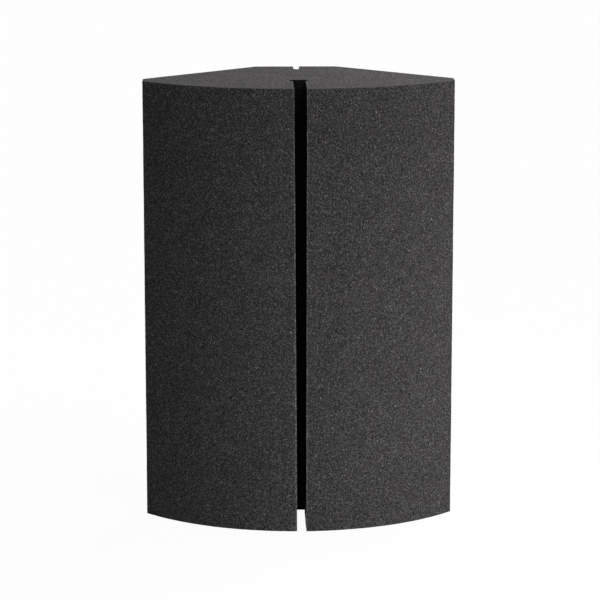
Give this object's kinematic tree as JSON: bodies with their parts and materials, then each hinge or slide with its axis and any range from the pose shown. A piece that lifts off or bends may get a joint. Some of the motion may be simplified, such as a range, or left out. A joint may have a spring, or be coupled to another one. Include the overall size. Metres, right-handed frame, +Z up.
{
  "type": "corner bass trap",
  "caption": "Tall foam corner bass trap with a curved front, a T-shaped slot down the front, flat wall faces at 45 degrees and a cut-off rear corner.",
  "frame": {"origin": "on the plane that the block stands on, under the middle of its bounding box", "axes": "+Z up along the block, -Y out of the curved front towards the room, +Y into the corner, X across"},
  "size_m": [0.42, 0.2749, 0.6],
  "materials": {
    "foam": "matte",
    "adhesive": "satin"
  },
  "bodies": {
    "root": {"left_wing": "foam", "right_wing": "foam", "spine": "foam", "left_bond_film": "adhesive", "right_bond_film": "adhesive"}
  },
  "joints": []
}
